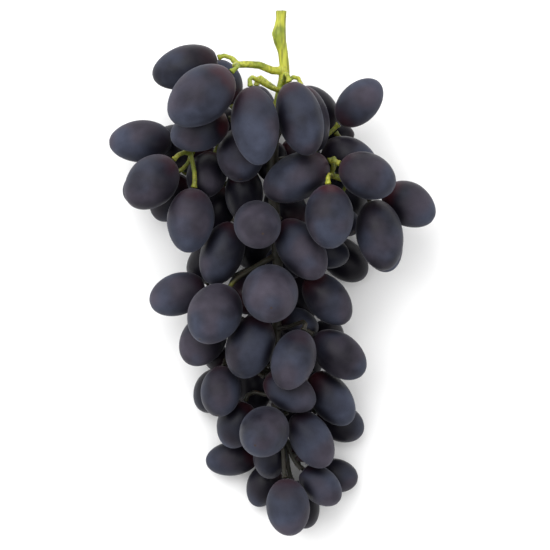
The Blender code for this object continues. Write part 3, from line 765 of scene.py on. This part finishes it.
def run_tree(name, tree, values, mesh=None):
    """Runs a Geometry Nodes tree on a mesh, or on none, and returns the result as a plain object."""
    source = new_object(name + " source", mesh or bpy.data.meshes.new(name + " source"))
    modifier = source.modifiers.new("shape", "NODES")
    modifier.node_group = tree
    set_inputs(modifier, tree, values)
    return as_plain_mesh(name, source)


def points_of(mesh):
    """A mesh's points in mm."""
    flat = np.empty(len(mesh.vertices) * 3)
    mesh.vertices.foreach_get("co", flat)
    return flat.reshape(-1, 3) / MM


def store(mesh, name, values):
    attribute = mesh.attributes.new(name, "FLOAT", "POINT")
    attribute.data.foreach_set("value", np.asarray(values, dtype=np.float32))


print("helpers ready")

# %% Make every berry
NEIGHBOURS = 36  # mm between two middles, beyond which berries don't matter to each other
# COVER_REACH and COVER_FADE shape the painted shade under berries
COVER_REACH = 27
COVER_FADE = 9
TOUCHING = 0.3
# the fade of the painted shade round a contact, beyond where bloom is rubbed off
RUB_AND_SHADE_FADE = 4.2

chance = np.random.default_rng(7)
all_ovals = list(berries.values()) + inner_berries


def covered_by(points, ovals):
    """Painted shade: 0 in the open to 1 under many berries, from how many middles are near and higher.
    """
    cover = np.zeros(len(points))
    for oval in ovals:
        off = oval["middle"] - points
        away = np.linalg.norm(off, axis=1)
        above = np.clip(off[:, 2] / away * 1.6 - 0.1, 0, 1)
        cover += np.clip((COVER_REACH - away) / COVER_FADE, 0, 1) * above
    return np.clip((cover - 0.35) / 1.5, 0, 1)


def grow(name, oval, rings):
    """One berry as a plain mesh, with the four values for its skin written on it."""
    values = {
        "Length": oval["length"] * MM,
        "Diameter": oval["diameter"] * MM,
        "Taper": chance.uniform(0.0, 0.09),
        "Unevenness": chance.uniform(0.35, 0.75) * MM,
        "Seed": chance.uniform(0, 50),
        "Rings": rings,
        "Place": [float(v) * MM for v in oval["middle"]],
        "Turn": tuple(Vector(oval["axis"]).to_track_quat("Z", "Y").to_euler()),
        "Skin": skin,
    }
    grape = run_tree(name, grape_tree, values)
    points = points_of(grape.data)
    near = [other for other in all_ovals if other is not oval]
    near = near_to(oval["middle"], near, NEIGHBOURS)
    # how near the next berry or the table is: rubbed bloom where they meet, painted shade round it
    gap = np.minimum(gap_to_all(points, near), points[:, 2])
    store(grape.data, "rub_and_shade", np.clip(1 - (gap - TOUCHING) / RUB_AND_SHADE_FADE, 0, 1))
    # painted shade on the skin, from the berries that lie over each point
    store(grape.data, "deep_painted_shade", covered_by(points, near))
    store(grape.data, "tone", np.full(len(points), chance.uniform(0, 1)))
    store(grape.data, "red_end", np.full(len(points), chance.uniform(0.1, 1)))
    return grape


grapes = []
for name, oval in berries.items():
    grape = grow(name.replace("_berry_", "_grape_"), oval, OUTER_RINGS)
    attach(grape, "root")
    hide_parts(name)
    grapes.append(grape)
print(len(grapes), "grapes of", len(grapes[0].data.polygons), "faces each")

# %% Make the inner berries, joined as one piece
def join_meshes(name, meshes):
    """One object with all these meshes in it. Their stored values come along."""
    shape = bmesh.new()
    for mesh in meshes:
        shape.from_mesh(mesh)
    joined = bpy.data.meshes.new(name)
    shape.to_mesh(joined)
    shape.free()
    return new_object(name, joined)


loose = [grow("inner_" + str(k), oval, INNER_RINGS) for k, oval in enumerate(inner_berries)]
inner_grapes = join_meshes("inner_grapes", [grape.data for grape in loose])
inner_grapes.data.materials.append(skin)
for grape in loose:
    bpy.data.objects.remove(grape)
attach(inner_grapes, "root")
print(len(inner_grapes.data.polygons), "faces in the inner grapes")

# %% [markdown]
# ## The stem
#
# The stem is a green shoot: a stalk that was cut from the vine, branches, and a pedicel for each
# berry. It grew as one piece, so it is one piece here. The plain solid is made of straight tubes
# with flats. The inner berries' pedicels are added to it, as tubes along the ways found above. A
# remesh in small cells then makes them all one skin of even little faces, and smoothing melts the
# flats and softens the forks, as growth does.

# %% Geometry Nodes: pedicels along lines
FLARE = 1.8  # how many times thicker a pedicel is at its berry


def pedicel_tree():
    inputs = (
        ("Radius", "Float", PEDICEL_RADIUS * MM),
        ("Flare", "Float", FLARE),
        ("Bark", "Material", None),
    )
    tree = new_tree("Pedicels", inputs, takes_shape=True)
    given = tree.nodes.new("NodeGroupInput").outputs
    line = add(tree, "GeometryNodeMeshToCurve", {"Mesh": given["Geometry"]})
    along = add(tree, "GeometryNodeSplineParameter")
    share = ramp(tree, along, 0.0, 0.25, 1.0, 0.0)
    more = sums(tree, "SUBTRACT", given["Flare"], 1.0)
    swell = sums(tree, "ADD", 1.0, sums(tree, "MULTIPLY", share, more))
    line = add(tree, "GeometryNodeSetCurveRadius", {"Curve": line, "Radius": swell})
    ring = add(tree, "GeometryNodeCurvePrimitiveCircle", {"Resolution": 12, "Radius": given["Radius"]})
    tube = {"Curve": line, "Profile Curve": ring, "Fill Caps": True}
    tube = add(tree, "GeometryNodeCurveToMesh", tube)
    tube = add(tree, "GeometryNodeRealizeInstances", {"Geometry": tube})
    tube = add(tree, "GeometryNodeSetMaterial", {"Geometry": tube, "Material": given["Bark"]})
    end_tree(tree, tube)
    return tree


pedicel_ways = pedicel_tree()
print(len(pedicel_ways.nodes), "nodes make a pedicel")

# %% [markdown]
# ## The stem's green
#
# Outside the bunch the stem is yellow green with olive mottling. Among the berries its colour is
# mixed towards near black: painted shade, standing in for the shade inside the bunch. Small corky
# warts and the cut end are paler or browner. The value "shade", written on the stem's points
# further down, says how many berries crowd round each point, and "wart" marks the warts.

# %% Stem material
STEM_GREEN = (0.205, 0.250, 0.016, 1.0)
STEM_YELLOW = (0.420, 0.430, 0.040, 1.0)
STEM_OLIVE = (0.070, 0.085, 0.010, 1.0)
# painted shade: the near black that the stem is mixed towards among the berries
STEM_SHADED = (0.014, 0.012, 0.006, 1.0)
STEM_CORK = (0.170, 0.120, 0.030, 1.0)
CUT_PALE = (0.560, 0.560, 0.270, 1.0)
CUT_PITH = (0.220, 0.150, 0.060, 1.0)
PITH_RADIUS = 0.25 * MM
RIM_RADIUS = 1.45 * MM


def make_stem_skin(cut):
    """The green of the stem. cut is the middle of its cut end."""
    material = bpy.data.materials.new("green grape stem")
    material.use_nodes = True
    tree = material.node_tree
    shader = tree.nodes["Principled BSDF"]
    place = add(tree, "ShaderNodeTexCoord", output=3)
    shade = stored(tree, "shade")
    wart = stored(tree, "wart")
    patches = noise(tree, place, 110.0, detail=2.0)
    grain = noise(tree, place, 850.0, detail=3.0, roughness=0.6)
    drawn_out = add(tree, "ShaderNodeMapping", {"Vector": place, "Scale": (1.0, 0.12, 1.0)})
    fibres = noise(tree, drawn_out, 1100.0, detail=2.0)
    x, y, _ = split(tree, place)
    on_stalk = ramp(tree, y, 74 * MM, 80 * MM)
    on_stalk = sums(tree, "MULTIPLY", on_stalk, ramp(tree, x, -5 * MM, -3 * MM))
    grain = add(tree, "ShaderNodeMix", {0: on_stalk, 2: grain, 3: fibres})
    colour = blend_colour(tree, ramp(tree, patches, 0.36, 0.60), STEM_GREEN, STEM_YELLOW)
    colour = blend_colour(tree, ramp(tree, grain, 0.32, 0.60, 0.65, 0.0), colour, STEM_OLIVE)
    colour = blend_colour(tree, sums(tree, "MULTIPLY", wart, 0.6), colour, STEM_CORK)
    # painted shade among the berries, by the stored value "shade"
    colour = blend_colour(tree, shade, colour, STEM_SHADED)
    x, y, z = split(tree, vectors(tree, "SUBTRACT", place, tuple(cut)))
    from_middle = add(tree, "ShaderNodeCombineXYZ", {0: x, 1: 0.0, 2: z})
    ring = vectors(tree, "LENGTH", from_middle, output=1)
    pith = ramp(tree, ring, PITH_RADIUS, 0.55 * MM, 0.8, 0.0)
    face = blend_colour(tree, pith, CUT_PALE, CUT_PITH)
    face = blend_colour(tree, ramp(tree, ring, RIM_RADIUS, 1.75 * MM), face, STEM_OLIVE)
    on_cut = ramp(tree, y, -0.30 * MM, -0.12 * MM)
    colour = blend_colour(tree, on_cut, colour, face)
    tree.links.new(colour, shader.inputs["Base Color"])
    tree.links.new(ramp(tree, grain, 0.3, 0.7, 0.62, 0.42), shader.inputs["Roughness"])
    bumps = add(tree, "ShaderNodeBump", {"Strength": 0.45, "Distance": 0.00015, "Height": grain})
    tree.links.new(bumps, shader.inputs["Normal"])
    shader.inputs["Specular IOR Level"].default_value = 0.4
    shader.inputs["Subsurface Weight"].default_value = 0.12
    shader.inputs["Subsurface Scale"].default_value = 0.0012
    return material


top_corners = stem_corners[stem_corners[:, 1] > stem_corners[:, 1].max() - 0.5]
stem_skin = make_stem_skin(top_corners.mean(0) * MM)
print(len(stem_skin.node_tree.nodes), "nodes in the stem's green")

# %% Make the stem one skin
STEM_CELL = 0.38 * MM
MELT_SHARE = 0.5
MELT_ROUNDS = 4


def inner_pedicels():
    """Every inner berry's pedicel line, as one mesh of edges, made into tubes."""
    points = []
    edges = []
    for oval in inner_berries:
        first = len(points)
        points += [tuple(point * MM) for point in oval["pedicel"]]
        edges += [(k, k + 1) for k in range(first, len(points) - 1)]
    lines = bpy.data.meshes.new("pedicel lines")
    lines.from_pydata(points, edges, [])
    sizes = {"Radius": PEDICEL_RADIUS * MM, "Flare": FLARE, "Bark": stem_skin}
    return run_tree("inner_pedicels", pedicel_ways, sizes, lines)


def drop_crumbs(mesh):
    """Keeps a mesh's largest connected part, and says how many crumbs the remesh had left."""
    shape = bmesh.new()
    shape.from_mesh(mesh)
    left = set(shape.verts)
    parts = []
    while left:
        front = [left.pop()]
        part = list(front)
        while front:
            corner = front.pop()
            joined = {edge.other_vert(corner) for edge in corner.link_edges} & left
            left -= joined
            part.extend(joined)
            front.extend(joined)
        parts.append(part)
    parts.sort(key=len)
    crumbs = [corner for part in parts[:-1] for corner in part]
    bmesh.ops.delete(shape, geom=crumbs, context="VERTS")
    shape.to_mesh(mesh)
    shape.free()
    return len(parts) - 1


def one_skin():
    tubes = inner_pedicels()
    shape = bmesh.new()
    shape.from_mesh(stem_node.data)
    shape.from_mesh(tubes.data)
    bmesh.ops.remove_doubles(shape, verts=shape.verts, dist=0.002 * MM)
    mesh = bpy.data.meshes.new("stem source")
    shape.to_mesh(mesh)
    shape.free()
    bpy.data.objects.remove(tubes)
    source = new_object("stem source", mesh)
    cells = source.modifiers.new("cells", "REMESH")
    cells.mode = "VOXEL"
    cells.voxel_size = STEM_CELL
    melt = source.modifiers.new("melt", "SMOOTH")
    melt.factor = MELT_SHARE
    melt.iterations = MELT_ROUNDS
    return as_plain_mesh("smooth stem", source)


smooth_stem = one_skin()
crumbs = drop_crumbs(smooth_stem.data)
print(len(smooth_stem.data.polygons), "faces in the smooth stem, and", crumbs, "crumbs dropped")

# %% [markdown]
# ## Relief and warts
#
# Up close a grape's stem is not smooth. It has shallow ribs and hollows, and round corky warts.
# Both follow the surface, so a Geometry Nodes tree makes them: noise lifts the surface, and points
# scattered over it with a fixed seed carry the warts. The input "Fullness" gives back the thickness
# that smoothing took off.

# %% Geometry Nodes: the stem's surface
RELIEF = 0.22 * MM
WART_SEED = 4


def bark_tree():
    inputs = (
        ("Relief", "Float", RELIEF),
        ("Fullness", "Float", 0.14 * MM),
        ("Wart Size", "Float", 0.24 * MM),
        ("Warts per Square Metre", "Float", 45000.0),
        ("Seed", "Int", WART_SEED),
        ("Bark", "Material", None),
    )
    tree = new_tree("Stem surface", inputs, takes_shape=True)
    given = tree.nodes.new("NodeGroupInput").outputs

    where = add(tree, "GeometryNodeInputPosition")
    bumps = noise(tree, where, 420.0, detail=2.0)
    swells = noise(tree, where, 130.0)
    both = sums(tree, "ADD", sums(tree, "MULTIPLY", bumps, 0.45), sums(tree, "MULTIPLY", swells, 0.9))
    lift = sums(tree, "MULTIPLY", sums(tree, "SUBTRACT", both, 0.65), given["Relief"])
    lift = sums(tree, "ADD", lift, given["Fullness"])
    outwards = vectors(tree, "SCALE", add(tree, "GeometryNodeInputNormal"))
    tree.links.new(lift, outwards.node.inputs["Scale"])
    bark = add(tree, "GeometryNodeSetPosition", {"Geometry": given["Geometry"], "Offset": outwards})

    scatter = {"Mesh": bark, "Density": given["Warts per Square Metre"], "Seed": given["Seed"]}
    spots = add(tree, "GeometryNodeDistributePointsOnFaces", scatter)
    upright = spots.node.outputs["Rotation"]
    spread = {2: 0.5, 3: 1.2, "Seed": given["Seed"]}
    grow = add(tree, "FunctionNodeRandomValue", spread, 1, data_type="FLOAT")
    size = sums(tree, "MULTIPLY", grow, given["Wart Size"])
    flat = add(tree, "ShaderNodeCombineXYZ", {0: size, 1: size, 2: sums(tree, "MULTIPLY", size, 0.7)})
    bead = add(tree, "GeometryNodeMeshIcoSphere", {"Radius": 1.0, "Subdivisions": 2})
    warts = {"Points": spots, "Instance": bead, "Rotation": upright, "Scale": flat}
    warts = add(tree, "GeometryNodeInstanceOnPoints", warts)

    warts = add(tree, "GeometryNodeRealizeInstances", {"Geometry": warts})
    marked = {"Geometry": warts, "Name": "wart", "Value": 1.0}
    warts = add(tree, "GeometryNodeStoreNamedAttribute", marked)
    whole = tree.nodes.new("GeometryNodeJoinGeometry")
    tree.links.new(bark, whole.inputs[0])
    tree.links.new(warts, whole.inputs[0])
    whole = add(tree, "GeometryNodeSetShadeSmooth", {"Geometry": whole.outputs[0]})
    whole = add(tree, "GeometryNodeSetMaterial", {"Geometry": whole, "Material": given["Bark"]})
    end_tree(tree, whole)
    return tree


stem_surface = bark_tree()
print(len(stem_surface.nodes), "nodes make the stem's surface")

# %% Make the stem
CROWD_REACH = 27  # mm from a berry's middle, where it starts to count
CROWD_FADE = 8  # mm further in, where it counts as one
OPEN_CROWD = 2.8  # berries round a point before it starts to darken
SHOULDERS_OUT = 15  # mm from the middle line
SHOULDERS_UP = 30


def depth_among(points, ovals):
    """Painted shade: 0 in the open to 1 among many berries, from how many have their middles near.

    The shoulders hang out to the sides, in the light, so their branches get up to half less of it.
    """
    crowd = np.zeros(len(points))
    for oval in ovals:
        away = np.linalg.norm(points - oval["middle"], axis=1)
        crowd += np.clip((CROWD_REACH - away) / CROWD_FADE, 0, 1)
    shade = np.clip((crowd - OPEN_CROWD) / 1.8, 0, 1)
    out_there = np.clip((np.abs(points[:, 0]) - SHOULDERS_OUT) / 6, 0, 1)
    on_shoulders = out_there * (points[:, 1] > SHOULDERS_UP)
    return shade * (1 - 0.5 * on_shoulders)


# painted shade, stored on the stem's points for its green
shade = depth_among(points_of(smooth_stem.data), all_ovals)
store(smooth_stem.data, "shade", shade)
store(smooth_stem.data, "wart", np.zeros(len(shade)))
stem_mesh = smooth_stem.data.copy()
bpy.data.objects.remove(smooth_stem)
looks = {"Relief": RELIEF, "Seed": WART_SEED, "Bark": stem_skin}
stem = run_tree("green_stem", stem_surface, looks, stem_mesh)
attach(stem, "root")
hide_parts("stem")
print(len(stem.data.polygons), "faces in the stem, shaded on average", shade.mean().round(2))
